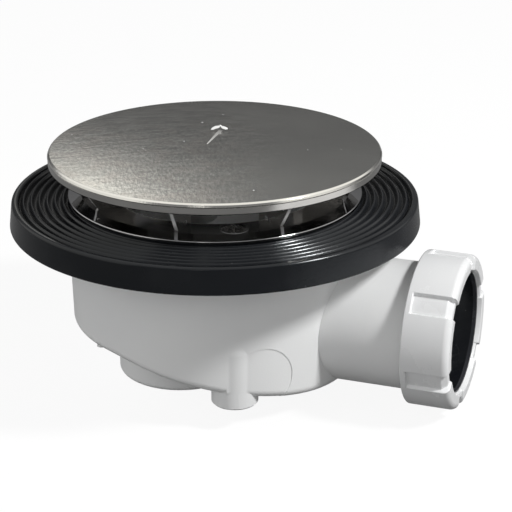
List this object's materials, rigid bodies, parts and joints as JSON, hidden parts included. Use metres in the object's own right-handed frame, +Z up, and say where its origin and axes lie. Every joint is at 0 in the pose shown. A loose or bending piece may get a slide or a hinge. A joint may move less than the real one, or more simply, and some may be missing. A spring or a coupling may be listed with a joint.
{
  "type": "shower trap",
  "caption": "Low round shower trap with a floating domed cover, chrome flange, ribbed tray seal, dip tube in a water well, sloping bowl and a side outlet with a compression nut.",
  "frame": {"origin": "on the axis of the waste, in the plane of the seal's rib tops, where the underside of the tray lies", "axes": "+Z up along the waste's axis, +X along the outlet"},
  "size_m": [0.1626, 0.1426, 0.0865],
  "materials": {
    "white_plastic": "satin moulding",
    "grey_plastic": "matt",
    "black_rubber": "smooth, slightly shiny",
    "chrome_plate": "mirror plating",
    "carrier_chrome": "satin plating on plastic",
    "brushed_steel": "fine brushed",
    "screw_steel": "bright",
    "insert_brass": "turned"
  },
  "bodies": {
    "root": {"compression_nut": "white_plastic", "compression_seal": "black_rubber", "cover_carrier": "carrier_chrome", "cover_plate": "brushed_steel", "dip_tube": "white_plastic", "dip_tube_ring": "black_rubber", "flange_gasket": "black_rubber", "flange_screws": "screw_steel", "flange_seal": "black_rubber", "outlet_socket": "white_plastic", "screw_inserts": "insert_brass", "slip_washer": "grey_plastic", "top_flange": "chrome_plate", "trap_body": "white_plastic", "water_well": "white_plastic"}
  },
  "joints": []
}
